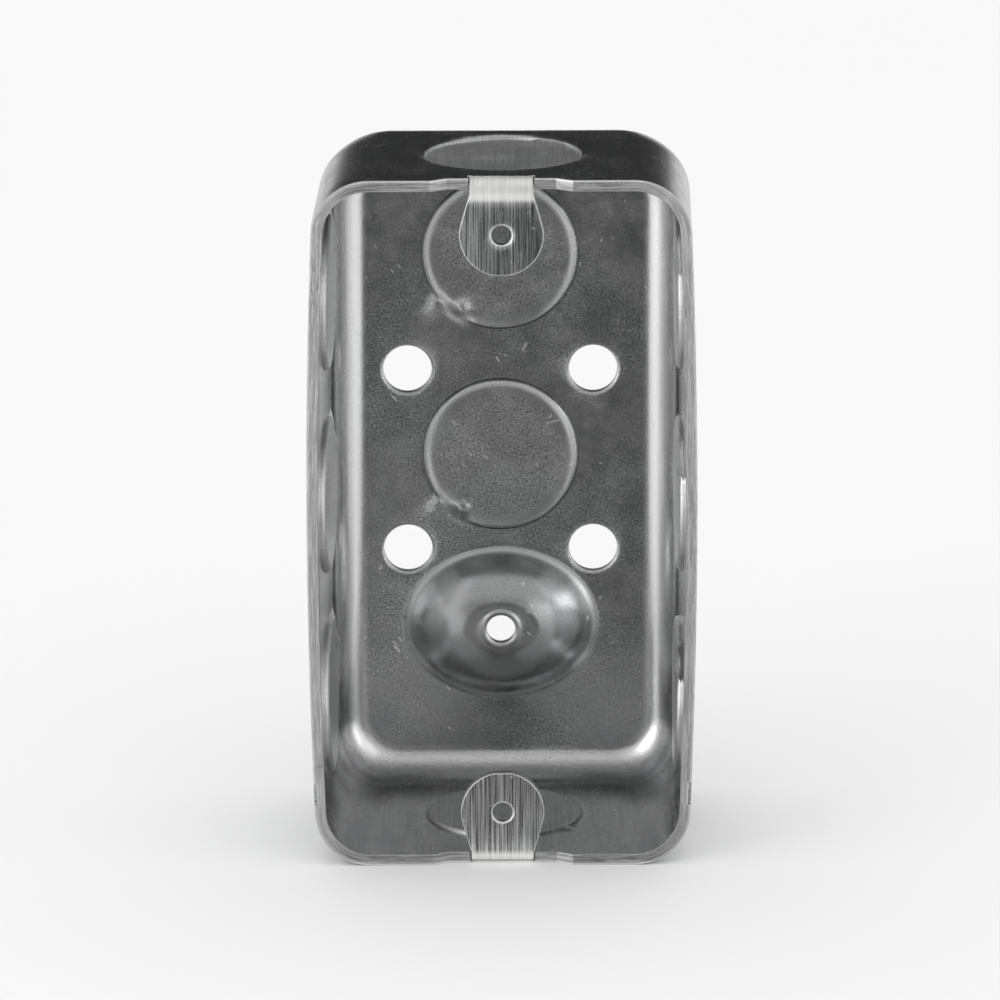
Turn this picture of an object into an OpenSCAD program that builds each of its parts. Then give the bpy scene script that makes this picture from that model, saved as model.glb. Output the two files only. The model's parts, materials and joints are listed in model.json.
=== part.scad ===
// Handy box: a one-piece drawn steel electrical box with knockouts, cover ears and a grounding bump.
// The box stands on its lower end. X is its width, Z its length, and the open front faces -Y.
// The origin is the centre of the mounting holes, on the outside of the floor.

/* [Box] */
// Distance between the cover screw holes in the two ears
ear_spacing = 83.34; // [80:0.1:120]
// Distance from each cover screw hole to the outside of its end wall
ear_setback = 7.78; // [7:0.1:10]
// Width over the rim, at its corners
box_width = 52.8; // [50:0.1:75]
// Depth from the mounting face to the rim
box_depth = 38.1; // [35:0.1:60]
// Thickness of the sheet
sheet = 1.59; // [1.2:0.01:2]
// Outside radius of the four upright corners
corner_r = 8; // [7:0.1:9]
// Outside radius where the walls turn into the floor
floor_r = 6.5; // [5:0.1:6.8]
// How far each long side bows out at the middle of the rim
side_bow = 0.85; // [0:0.05:1.5]
// How far each long side leans in from the rim to the floor
side_lean = 0.3; // [0:0.05:1]
// How far each end wall leans in from the rim to the floor
end_lean = 0.3; // [0:0.05:1]
// How much lower the long sides are trimmed than the ends
rim_trim = 0.5; // [0.2:0.05:1]
// Where the trimmed stretch starts above the middle
trim_top = 40.6; // [30:0.1:41]
// Where the trimmed stretch ends below the middle
trim_bottom = 35; // [25:0.1:40]

/* [Knockouts] */
// Radius of each knockout slug
knockout_r = 11.1; // [9:0.1:11.5]
// How far each slug stands in from its wall
knockout_raise = 0.7; // [0.3:0.05:1]
// Width of the sheared groove round each slug
groove_w = 0.3; // [0.2:0.05:0.5]
// Depth of the sheared groove
groove_d = 0.4; // [0.2:0.05:0.6]
// Width of the tab that holds each slug
tab_w = 3.2; // [2:0.1:5]
// Length of the sloped end of the tab
tab_slope = 1.2; // [0.6:0.1:2]
// Direction of the tab from the middle of its slug
tab_angle = 225; // [0:5:355]
// Distance between neighbouring knockouts along the box
knockout_pitch = 29.6; // [24:0.1:30]
// Height of the middle side knockouts above the middle of the box
side_shift = -0.4; // [-1:0.1:1]
// Height of the lower floor knockout above the middle of the box
floor_shift = 0.8; // [0:0.1:1]
// Depth of the wall knockouts below the rim
knockout_depth = 19.05; // [18:0.05:20]

/* [Mounting holes] */
// Diameter of the four mounting holes in the floor
mount_hole_d = 6.95; // [4:0.05:7.5]
// Distance between the mounting holes, both ways
mount_hole_pitch = 26.5; // [26:0.1:30]

/* [Grounding bump] */
// Width of the bump at the floor
bump_w = 27.4; // [24:0.1:30]
// Height of the bump along the box
bump_h = 22; // [18:0.1:22.5]
// How far the bump rises into the box
bump_rise = 3.7; // [2.5:0.1:4.5]
// Distance from the middle of the box down to the middle of the bump
bump_drop = 24.3; // [24.2:0.1:26]
// Width of the flat seat on top of the bump
seat_w = 10.4; // [8:0.1:12]
// Height of the flat seat on top of the bump
seat_h = 7.4; // [6:0.1:9]
// Diameter of the grounding screw hole
ground_hole_d = 4.1; // [3:0.05:5]

/* [Ears] */
// Radius of the ear's round head
ear_head_r = 5.85; // [5:0.05:6.5]
// Width of the ear's neck at the wall
ear_neck_w = 8.8; // [7:0.1:10]
// Diameter of the cover screw hole
ear_hole_d = 2.8; // [2:0.05:4.2]
// Outside radius of the ear's bend
ear_bend_r = 3.2; // [2.2:0.1:3.4]
// Width of the relief slit on each side of the neck
slit_w = 0.4; // [0.2:0.05:0.8]
// Depth of the rim notch beside each ear
notch_depth = 1.4; // [0.8:0.1:2]
// Width of the notch at the rim
notch_w = 19.8; // [16:0.1:24]
// Width of the notch at its floor
notch_floor_w = 15.2; // [12:0.1:15.6]

/* [Hidden] */

box_length = ear_spacing + 2 * ear_setback;
half_length = box_length / 2;
half_width = box_width / 2;
steel = [0.62, 0.63, 0.64];
overcut = 1;
// The band under the rim that the ears are bent from has upright walls
band_z = box_depth - ear_bend_r - 0.4;
// Number of flat steps in a rounded corner, a bowed side, the floor's edge and the bump
corner_steps = 8;
bow_steps = 10;
edge_steps = 6;
bump_steps = 6;
bump_sides = 40;
round_fn = 64;

function mix(a, b, t) = a + (b - a) * t;

// Share of the side bow at a place along the box, from 1 in the middle to 0 where the corners start
function bow_share(y) = 1 - pow(y / (half_length - corner_r), 2);

// One rounded corner, whose arc has centre (cx, cy) and turns a quarter from angle start
function corner(cx, cy, r, start, z) = [
    for (i = [0:corner_steps])
        let (a = start + 90 * i / corner_steps) [cx + r * cos(a), cy + r * sin(a), z]
];

// One bowed long side without its end points, on the side that sign gives
function long_side(sign, reach, bow, span, z) = [
    for (i = [1:bow_steps - 1])
        let (s = -1 + 2 * i / bow_steps) [sign * (reach + bow * (1 - s * s)), sign * span * s, z]
];

// The outline of the box at height z, set in by a distance from the outside
function ring(inset, z) =
    let (
        t = min(1, max(0, (z - floor_r) / (band_z - floor_r))),
        x = half_width - side_lean * (1 - t) - inset,
        y = half_length - end_lean * (1 - t) - inset,
        r = corner_r - inset,
        bow = side_bow * t
    )
    concat(
        corner(x - r, y - r, r, 0, z),
        corner(-x + r, y - r, r, 90, z),
        long_side(-1, x, bow, y - r, z),
        corner(-x + r, -y + r, r, 180, z),
        corner(x - r, -y + r, r, 270, z),
        long_side(1, x, bow, y - r, z)
    );

// An ellipse of the given half width and half height
function ellipse(a, b, z) = [
    for (i = [0:bump_sides - 1])
        let (turn = 360 * i / bump_sides) [a * cos(turn), b * sin(turn), z]
];

// A closed solid through a stack of outlines that have equal numbers of points
module loft(rings) {
    count = len(rings[0]);
    last = len(rings) - 1;
    walls = [
        for (i = [0:last - 1], j = [0:count - 1])
            let (a = i * count + j, b = i * count + (j + 1) % count)
                each [[a, a + count, b], [b, a + count, b + count]]
    ];
    // Both end faces start on a rounded stretch of the outline
    start = floor(corner_steps / 2);
    bottom = [[for (j = [0:count - 1]) (start + j) % count]];
    top = [[for (j = [0:count - 1]) last * count + (start + count - j) % count]];
    polyhedron([for (r = rings) each r], concat(walls, bottom, top), convexity = 8);
}

// The drawn shape: a rounded edge at the floor, then the leaning, bowed walls up to top
module drawn_form(inset, top) {
    edge_r = floor_r - inset;
    edge = [
        for (i = [0:edge_steps])
            let (a = 90 * i / edge_steps) ring(inset + edge_r * (1 - sin(a)), inset + edge_r * (1 - cos(a)))
    ];
    loft(concat(edge, [ring(inset, band_z), ring(inset, top)]));
}

// Stands a feature that was drawn on the plane z = 0, with +z into the box, on the right long side
module on_side(y) {
    z = box_depth - knockout_depth;
    t = (z - floor_r) / (band_z - floor_r);
    x = half_width - side_lean * (1 - t) + side_bow * t * bow_share(y);
    lean = atan((side_lean + side_bow * bow_share(y)) / (band_z - floor_r));
    turn = atan(2 * side_bow * t * y / pow(half_length - corner_r, 2));
    translate([x, y, z]) rotate([0, 0, turn]) rotate([0, lean - 90, 0]) children();
}

// Stands a feature on the upper end wall
module on_end() {
    z = box_depth - knockout_depth;
    t = (z - floor_r) / (band_z - floor_r);
    lean = atan(end_lean / (band_z - floor_r));
    translate([0, half_length - end_lean * (1 - t), z]) rotate([90 - lean, 0, 0]) children();
}

// Puts a feature on all ten knockout places
module at_knockouts() {
    for (i = [0, 1]) translate([0, floor_shift + i * knockout_pitch, 0]) children();
    for (i = [-1:1], side = [0, 1]) mirror([side, 0, 0]) on_side(side_shift + i * knockout_pitch) children();
    for (end = [0, 1]) mirror([0, end, 0]) on_end() children();
}

// The space behind a slug, open to the outside
module slug_recess() {
    translate([0, 0, -overcut]) cylinder(h = overcut + knockout_raise, r = knockout_r, $fn = round_fn);
}

// The sheared groove round a slug, on the inside of the wall
module slug_groove() {
    translate([0, 0, sheet - groove_d]) difference() {
        cylinder(h = groove_d + overcut, r = knockout_r + groove_w, $fn = round_fn);
        translate([0, 0, -overcut]) cylinder(h = groove_d + 3 * overcut, r = knockout_r, $fn = round_fn);
    }
}

// The slug, and the tab that slopes from it down to the wall
module slug() {
    translate([0, 0, knockout_raise]) cylinder(h = sheet, r = knockout_r, $fn = round_fn);
    rotate([90, 0, tab_angle]) translate([0, 0, -tab_w / 2]) linear_extrude(tab_w) {
        polygon([
            [knockout_r - tab_slope, sheet - groove_d],
            [knockout_r - tab_slope, sheet + knockout_raise],
            [knockout_r, sheet + knockout_raise],
            [knockout_r + groove_w + tab_slope, sheet],
            [knockout_r + groove_w + tab_slope, sheet - groove_d]
        ]);
        polygon([
            [knockout_r - tab_slope, knockout_raise],
            [knockout_r, 0],
            [knockout_r + groove_w, 0],
            [knockout_r + groove_w, knockout_raise]
        ]);
    }
}

// One face of the grounding bump, set in from its outside
module bump_form(inset, base_z) {
    rings = [
        for (i = [0:bump_steps])
            let (s = 1 - i / bump_steps)
                ellipse(
                    mix(seat_w / 2, bump_w / 2, s) - inset,
                    mix(seat_h / 2, bump_h / 2, s) - inset,
                    base_z + bump_rise * (1 - s * s)
                )
    ];
    foot = ellipse(bump_w / 2 - inset, bump_h / 2 - inset, base_z - sheet / 2);
    translate([0, -bump_drop, 0]) loft(concat([foot], rings));
}

// The outline of an ear from the bend to its round head, with the screw hole at the origin
module ear_outline() {
    root = [ear_neck_w / 2, ear_setback - ear_bend_r];
    reach = norm(root);
    // The neck's straight edges run off the head as tangents
    touch = atan2(root[1], root[0]) - acos(min(1, ear_head_r / reach));
    tangent = ear_head_r * [cos(touch), sin(touch)];
    difference() {
        union() {
            circle(r = ear_head_r, $fn = round_fn);
            polygon([root, tangent, [-tangent[0], tangent[1]], [-root[0], root[1]]]);
        }
        circle(d = ear_hole_d, $fn = round_fn);
    }
}

// The upper ear: a strip of the end wall that is bent in level with the rim
module ear() {
    bend_y = half_length - ear_bend_r;
    bend_z = box_depth - ear_bend_r;
    translate([0, half_length - ear_setback, box_depth - sheet]) linear_extrude(sheet) ear_outline();
    translate([-ear_neck_w / 2, bend_y, bend_z]) intersection() {
        rotate([0, 90, 0]) difference() {
            cylinder(h = ear_neck_w, r = ear_bend_r, $fn = round_fn);
            translate([0, 0, -overcut])
                cylinder(h = ear_neck_w + 2 * overcut, r = ear_bend_r - sheet, $fn = round_fn);
        }
        cube([ear_neck_w, ear_bend_r, ear_bend_r]);
    }
}

// The notch in the rim round the upper ear, with the two relief slits
module ear_notch() {
    translate([0, half_length + overcut, 0]) rotate([90, 0, 0]) linear_extrude(sheet + 2 * overcut) {
        polygon([
            [-notch_floor_w / 2, box_depth - notch_depth],
            [notch_floor_w / 2, box_depth - notch_depth],
            [notch_w / 2, box_depth],
            [notch_w / 2, box_depth + overcut],
            [-notch_w / 2, box_depth + overcut],
            [-notch_w / 2, box_depth]
        ]);
        translate([-ear_neck_w / 2 - slit_w, box_depth - ear_bend_r])
            square([ear_neck_w + 2 * slit_w, ear_bend_r + overcut]);
    }
}

// The stretch of both long sides that is trimmed below the rest of the rim
module side_trim() {
    width = box_width + 2 * side_bow + 2 * overcut;
    translate([-width / 2, -trim_bottom, box_depth - rim_trim])
        cube([width, trim_bottom + trim_top, rim_trim + overcut]);
}

module mounting_holes() {
    for (x = [-1, 1], y = [-1, 1])
        translate([x * mount_hole_pitch / 2, y * mount_hole_pitch / 2, -overcut])
            cylinder(h = sheet + 2 * overcut, d = mount_hole_d, $fn = round_fn);
}

module ground_hole() {
    translate([0, -bump_drop, bump_rise - overcut])
        cylinder(h = sheet + 2 * overcut, d = ground_hole_d, $fn = round_fn);
}

// The drawn shell with its knockout openings and holes, before the slugs, bump and ears
module shell() {
    difference() {
        drawn_form(0, box_depth);
        drawn_form(sheet, box_depth + overcut);
        side_trim();
        for (end = [0, 1]) mirror([0, end, 0]) ear_notch();
        at_knockouts() slug_recess();
        at_knockouts() slug_groove();
        mounting_holes();
    }
}

module box_body() {
    color(steel) rotate([90, 0, 0]) {
        difference() {
            union() {
                shell();
                at_knockouts() slug();
                bump_form(0, sheet);
            }
            bump_form(sheet, 0);
            ground_hole();
        }
        for (end = [0, 1]) mirror([0, end, 0]) ear();
    }
}

box_body();
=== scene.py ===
"""The handy box dressed for its picture: one sheet of drawn, zinc-plated steel.

The sheet is modelled flat and then formed. A floor patch and a wall strip are laid out in the plane and
triangulated round their knockouts, holes, notches and ears. Each point is then mapped onto the drawn
shell, once for the outside face and once for the inside face, and the cut edges join the two.
Lengths are in millimetres until a mesh is made: x is the width, y the length of the box, and z runs from
the mounting face to the rim.
"""

import json
import math

import bpy
import numpy as np
from mathutils import Matrix, Vector
from mathutils.geometry import delaunay_2d_cdt


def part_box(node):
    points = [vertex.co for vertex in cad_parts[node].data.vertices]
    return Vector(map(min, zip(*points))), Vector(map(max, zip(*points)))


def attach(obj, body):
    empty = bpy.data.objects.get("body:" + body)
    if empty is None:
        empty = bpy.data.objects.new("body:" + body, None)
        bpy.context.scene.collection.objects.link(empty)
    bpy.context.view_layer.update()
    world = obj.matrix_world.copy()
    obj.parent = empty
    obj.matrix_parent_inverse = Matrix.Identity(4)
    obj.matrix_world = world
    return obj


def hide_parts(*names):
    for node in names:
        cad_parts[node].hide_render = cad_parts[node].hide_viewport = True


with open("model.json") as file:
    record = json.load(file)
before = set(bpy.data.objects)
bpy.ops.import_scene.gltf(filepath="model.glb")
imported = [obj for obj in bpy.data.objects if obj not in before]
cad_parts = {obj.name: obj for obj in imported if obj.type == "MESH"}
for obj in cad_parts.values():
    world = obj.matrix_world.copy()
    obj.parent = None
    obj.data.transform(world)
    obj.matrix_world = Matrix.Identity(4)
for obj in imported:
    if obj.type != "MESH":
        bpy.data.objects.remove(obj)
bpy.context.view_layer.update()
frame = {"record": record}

MM = 0.001
NODE = "box_body"
box_low, box_high = (np.array(corner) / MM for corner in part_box(NODE))
mounts = {mount["name"]: mount for mount in frame["record"]["mounts"]}


def mount_mm(name):
    """A mount's place in the shell's own axes, in millimetres."""
    x, y, z = mounts[name]["pos_m"]
    return np.array([x, z, -y]) / MM


# The drawn shell
BOW = 0.85
DEPTH = -box_low[1]
HALF_L = box_high[2]
HALF_W = box_high[0] - BOW
SHEET = mounts["ground_screw_hole"]["dims"]["length_mm"]
CORNER_R = 8.0
FLOOR_R = 6.5
FLOOR_CORNER = 3.5
SIDE_LEAN = 0.3
END_LEAN = 0.3
FLOOR_ASIDE = 0.7
RIM_TRIM = 0.5
TRIM_TOP = 40.6
TRIM_BOTTOM = 35.0

# Knockouts
KNOCKOUTS = [name for name in mounts if name.startswith("knockout")]
SLUG_R = mounts[KNOCKOUTS[0]]["dims"]["r_mm"]
SLUG_ROLL = 0.25
SLUG_ROLL_W = 1.6
SHEAR = 0.02
GROOVE_W = 0.12
FLOOR_SLUG = {"raised": 0.7, "domed": 0.0, "rounded": 0.35, "groove": 0.25, "sunk": 0.3, "reach": 1.1}
WALL_SLUG = {"raised": 0.85, "domed": 0.45, "rounded": 0.5, "groove": 0.1, "sunk": 0.5, "reach": 1.5}
TAB_ANGLE = math.radians(230)
TAB_HALF = 0.22
TAB_SWELL = 0.35
TAB_SWELL_R = 1.0
TAB_SWELLS = ((-10, SLUG_R + 1.0), (5, SLUG_R - 1.5))
SLUG_SEGMENTS = 120

# Mounting holes, the grounding bump and its screw hole
HOLE_R = mounts["mounting_holes"]["dims"]["hole_r_mm"]
HOLE_PITCH = mounts["mounting_holes"]["dims"]["spacing_x_mm"]
BUMP_W = 27.4
BUMP_H = 22.0
SEAT_W = 10.4
SEAT_H = 7.4
GROUND_HOLE = mount_mm("ground_screw_hole")
BUMP_RISE = GROUND_HOLE[2] - SHEET / 2
GROUND_R = mounts["ground_screw_hole"]["dims"]["r_mm"]
GROUND_LIP = 0.22
THREAD_PITCH = 25.4 / 32

# Ears and the notches beside them
EAR_SPACING = mounts["cover_screw_holes"]["dims"]["spacing_y_mm"]
EAR_SETBACK = HALF_L - EAR_SPACING / 2
EAR_HEAD_R = 5.85
EAR_NECK = 4.4
EAR_FLARE = 1.4
EAR_TIP_FLAT = 0.12
EAR_HOLE_R = mounts["cover_screw_holes"]["dims"]["hole_r_mm"]
BEND_R = 3.2
SLIT = 0.16
NOTCH_D = 1.4
NOTCH_TOP = 9.9
NOTCH_FLOOR = 7.6

# Small slots in the outer half of the rim, low on both long sides
SLOT_FROM = 37.4
SLOT_TO = 40.6
SLOT_D = 0.7
SLOT_IN = 0.45

# Cut edges are eased by this much
EASE = 0.09

# Lengths along the sheet. The strip's u runs round the box, its v from the floor's edge up to the rim.
SIDE = HALF_L - CORNER_R
END = HALF_W - CORNER_R
ARC = CORNER_R * math.pi / 2
FILLET = FLOOR_R * math.pi / 2
STOPS = np.cumsum([0, ARC / 2, 2 * SIDE, ARC, 2 * END, ARC, 2 * SIDE, ARC, 2 * END, ARC / 2])
RIGHT_U = (STOPS[1] + STOPS[2]) / 2
TOP_U = (STOPS[3] + STOPS[4]) / 2
LEFT_U = (STOPS[5] + STOPS[6]) / 2
BOTTOM_U = (STOPS[7] + STOPS[8]) / 2
BAND_Z = DEPTH - BEND_R - 0.4


def v_at(z):
    """How far up the strip a height above the floor's rounded edge lies."""
    return FILLET + z - FLOOR_R


V_RIM = v_at(DEPTH)
V_BEND = v_at(DEPTH - BEND_R)
BEND_LENGTH = BEND_R * math.pi / 2


def smooth(low, high, value):
    t = np.clip((value - low) / (high - low), 0, 1)
    return t * t * (3 - 2 * t)


def spread(z):
    """Share of the wall's lean and bow at a height, with a soft start above the floor's edge."""
    soft = 2.0
    start = FLOOR_R
    ramp = (np.sqrt((z - start) ** 2 + soft**2) + (z - start)) / 2
    return np.clip(ramp / (BAND_Z - start), 0, 1)


def outline(u, inset, z):
    """Points of the outline at height z, set in from the outside, at places u round the box."""
    t = spread(z)
    half_x = HALF_W - SIDE_LEAN * (1 - t) - inset
    half_y = HALF_L - END_LEAN * (1 - t) - inset
    r = CORNER_R - inset + FLOOR_CORNER * (1 - smooth(0, 12, z))
    run_x, run_y = half_x - r, half_y - r
    x, y = np.zeros_like(u), np.zeros_like(u)
    for stop, sign, centre in ((1, 1, RIGHT_U), (5, -1, LEFT_U)):
        on = (u >= STOPS[stop]) & (u <= STOPS[stop + 1])
        s = np.clip((u - centre) / SIDE, -1, 1)
        x = np.where(on, sign * (half_x + BOW * t * (1 - s * s)), x)
        y = np.where(on, sign * s * run_y, y)
    for stop, sign, centre in ((3, 1, TOP_U), (7, -1, BOTTOM_U)):
        on = (u > STOPS[stop]) & (u < STOPS[stop + 1])
        x = np.where(on, -sign * (u - centre) / END * run_x, x)
        y = np.where(on, sign * half_y, y)
    corners = (
        (STOPS[0] - ARC / 2, -90, 1, -1),
        (STOPS[2], 0, 1, 1),
        (STOPS[4], 90, -1, 1),
        (STOPS[6], 180, -1, -1),
        (STOPS[8], 270, 1, -1),
    )
    for start, turned, sx, sy in corners:
        on = (u >= start) & (u <= start + ARC)
        a = math.radians(turned) + (u - start) / CORNER_R
        x = np.where(on, sx * run_x + r * np.cos(a), x)
        y = np.where(on, sy * run_y + r * np.sin(a), y)
    return x + FLOOR_ASIDE * (1 - t), y


def wall_point(u, v):
    """The outside face of the walls, from the floor's rounded edge upwards."""
    turn = np.clip(v / FLOOR_R, 0, math.pi / 2)
    inset = FLOOR_R * (1 - np.sin(turn))
    z = np.where(v < FILLET, FLOOR_R * (1 - np.cos(turn)), FLOOR_R + v - FILLET)
    x, y = outline(u, inset, z)
    return np.stack([x, y, z], -1)


def wall_frame(u, v):
    """Points and outward normals of the walls' outside face."""
    step = 0.01
    length = STOPS[-1]
    along = wall_point((u + step) % length, v) - wall_point((u - step) % length, v)
    up = wall_point(u, v + step) - wall_point(u, np.maximum(v - step, 0))
    normal = np.cross(along, up)
    normal /= np.linalg.norm(normal, axis=-1, keepdims=True)
    return wall_point(u, v), normal


def ear_frame(across, e, sign):
    """Points and normals of an ear's outside face, e millimetres up from the start of its bend."""
    turn = np.clip(e / BEND_R, 0, math.pi / 2)
    flat = np.maximum(e - BEND_LENGTH, 0)
    y = HALF_L - BEND_R + BEND_R * np.cos(turn) - flat
    z = DEPTH - BEND_R + BEND_R * np.sin(turn)
    points = np.stack([-sign * across, sign * y, z], -1)
    normals = np.stack([np.zeros_like(e), sign * np.cos(turn), np.sin(turn)], -1)
    return points, normals


def bent_over(u, v):
    """Whether a place on the strip belongs to an ear rather than to the wall beside it."""
    hit = np.zeros(len(u), bool)
    for centre in (TOP_U, BOTTOM_U):
        across = np.abs(u - centre)
        hit |= (v > V_BEND) & (across < EAR_HEAD_R + 1) & ((across < EAR_NECK + SLIT / 2) | (v > V_RIM + 0.2))
    return hit


def strip_frame(u, v):
    """Points and normals of the whole strip, ears included."""
    points, normals = wall_frame(u, np.minimum(v, V_RIM))
    for centre, sign in ((TOP_U, 1), (BOTTOM_U, -1)):
        across = u - centre
        bent = bent_over(u, v) & (np.abs(across) < END)
        ear_points, ear_normals = ear_frame(across, v - V_BEND, sign)
        points = np.where(bent[:, None], ear_points, points)
        normals = np.where(bent[:, None], ear_normals, normals)
    return points, normals


def slug_profile(rho, angle, tab, raised, domed, rounded, groove, sunk, reach):
    """How far the inside and outside faces stand in from the wall round a knockout."""
    roll = SLUG_ROLL * np.clip((rho - (SLUG_R - SLUG_ROLL_W)) / SLUG_ROLL_W, 0, 1) ** 2
    turned = np.clip((rho - (SLUG_R - rounded)) / rounded, 0, 1)
    roll = roll + rounded * (1 - np.sqrt(1 - turned**2))
    level = raised - domed * (1 - np.clip(rho / SLUG_R, 0, 1) ** 2)
    on_slug = rho < SLUG_R
    groove_end = SLUG_R + GROOVE_W
    inside = np.where(on_slug, level - roll, np.where(rho < groove_end, -groove, 0.0))
    sink = sunk * np.clip(1 - (rho - SLUG_R) / reach, 0, 1) ** 2
    outside = np.where(on_slug, level, sink)
    off = np.abs((angle - tab + math.pi) % (2 * math.pi) - math.pi)
    bridge = 1 - smooth(TAB_HALF, TAB_HALF * 1.6, off)
    ramp = level * (1 - smooth(SLUG_R - SLUG_ROLL_W, SLUG_R + reach, rho))
    inside = inside + bridge * (ramp - inside)
    for turn, r in TAB_SWELLS:
        a = tab + math.radians(turn)
        x, y = rho * np.cos(angle) - r * math.cos(a), rho * np.sin(angle) - r * math.sin(a)
        inside = inside + TAB_SWELL * np.exp(-(x * x + y * y) / TAB_SWELL_R**2)
    return inside, outside + bridge * (ramp - outside)


SLUG_RADII = [SLUG_R - gap for gap in (SLUG_ROLL_W, 1.2, 0.85, 0.5, 0.35, 0.25, 0.16, 0.08, SHEAR)]
SLUG_RADII += [SLUG_R + gap for gap in (SHEAR, GROOVE_W - SHEAR, GROOVE_W + SHEAR, 0.4, 0.7, 1.1, 1.5, 2.5)]
SLUG_REACH = SLUG_RADII[-1]


def bump_share(x, y):
    """0 on the bump's seat, 1 at its foot, found on the family of ellipses between the two."""
    y = y - GROUND_HOLE[1]
    low, high = np.zeros_like(x), np.full_like(x, 1.6)
    for _ in range(30):
        middle = (low + high) / 2
        a = SEAT_W / 2 + (BUMP_W - SEAT_W) / 2 * middle
        b = SEAT_H / 2 + (BUMP_H - SEAT_H) / 2 * middle
        outside = (x / a) ** 2 + (y / b) ** 2 > 1
        low, high = np.where(outside, middle, low), np.where(outside, high, middle)
    return (low + high) / 2


BUMP_SHARES = [-0.08, 0.0, 0.06, 0.14, 0.24, 0.36, 0.48, 0.6, 0.7, 0.78, 0.84, 0.89, 0.93, 0.97, 1.01, 1.04, 1.07]


def bump_height(share):
    """The bump's side: it leaves the seat at a slant, steepens, and ends in a fillet at the floor."""
    slant, toe, foot = 0.36, 0.94, 0.18
    t = share / toe
    dome = 1 - slant * t - (1 - slant) * np.maximum(t, 0) ** 3
    return BUMP_RISE * (np.sqrt(dome**2 + foot**2) + dome) / (1 + math.hypot(1, foot)) * (1 - smooth(0.97, 1.07, share))


# Laying out points in the plane


def circle(centre, r, count, turn=0.0):
    a = turn + np.arange(count) * 2 * math.pi / count
    return np.stack([centre[0] + r * np.cos(a), centre[1] + r * np.sin(a)], -1)


def ellipse(centre, a, b, count):
    t = np.arange(count) * 2 * math.pi / count
    return np.stack([centre[0] + a * np.cos(t), centre[1] + b * np.sin(t)], -1)


def slug_points(centre):
    """Rings of points over a knockout, coarse on the slug and close at its sheared edge."""
    rings = [np.array([centre], float)]
    rings += [circle(centre, r, count, 0.1 * r) for r, count in ((2.4, 10), (4.7, 20), (6.8, 36), (8.1, 60), (8.8, 90))]
    rings += [circle(centre, r, SLUG_SEGMENTS) for r in SLUG_RADII]
    return np.concatenate(rings)


def line(start, end, step):
    start, end = np.array(start, float), np.array(end, float)
    count = max(1, math.ceil(np.linalg.norm(end - start) / step))
    return start + (end - start) * np.arange(count)[:, None] / count


def polyline(corners, step):
    """Evenly spaced points along straight runs. The last corner is left for whatever follows."""
    return np.concatenate([line(a, b, step) for a, b in zip(corners[:-1], corners[1:])])


def inside_polygon(points, polygon):
    x, y = points[:, 0], points[:, 1]
    hit = np.zeros(len(points), bool)
    for (x1, y1), (x2, y2) in zip(polygon, np.roll(polygon, -1, axis=0)):
        if y1 == y2:
            continue
        crosses = (y1 > y) != (y2 > y)
        hit ^= crosses & (x < (x2 - x1) * (y - y1) / (y2 - y1) + x1)
    return hit


def offset_loop(loop, distance):
    """A closed loop of points, moved to its left by a distance."""
    ahead, behind = np.roll(loop, -1, axis=0) - loop, loop - np.roll(loop, 1, axis=0)
    ahead /= np.linalg.norm(ahead, axis=1, keepdims=True)
    behind /= np.linalg.norm(behind, axis=1, keepdims=True)
    left = np.stack([-(ahead + behind)[:, 1], (ahead + behind)[:, 0]], -1)
    left /= np.maximum(np.linalg.norm(left, axis=1, keepdims=True), 1e-9)
    cosine = np.maximum((left * np.stack([-ahead[:, 1], ahead[:, 0]], -1)).sum(1, keepdims=True), 0.5)
    return loop + left * distance / cosine


def far_from(points, others, gap):
    """Which points lie at least a gap away from all the others."""
    keep = np.ones(len(points), bool)
    cell = gap
    grid = {}
    for p in others:
        grid.setdefault((int(p[0] // cell), int(p[1] // cell)), []).append(p)
    for i, p in enumerate(points):
        cx, cy = int(p[0] // cell), int(p[1] // cell)
        near = [q for dx in (-1, 0, 1) for dy in (-1, 0, 1) for q in grid.get((cx + dx, cy + dy), ())]
        if near and (((np.array(near) - p) ** 2).sum(1) < gap * gap).any():
            keep[i] = False
    return keep


def triangulate(points, loops):
    """Delaunay triangles over the points, with each loop's edges kept. Returns points and triangles."""
    edges = []
    for first, count, closed in loops:
        ring = list(range(first, first + count))
        edges += list(zip(ring[:-1], ring[1:])) + ([(ring[-1], ring[0])] if closed else [])
    tolerance = 1e-5
    result = delaunay_2d_cdt([Vector(p) for p in points], edges, [], 0, tolerance)
    if len(result[0]) != len(points):
        raise RuntimeError("two points of a patch lie on each other")
    order = np.array([origin[0] for origin in result[3]])
    return order[np.array(result[2])]


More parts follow.
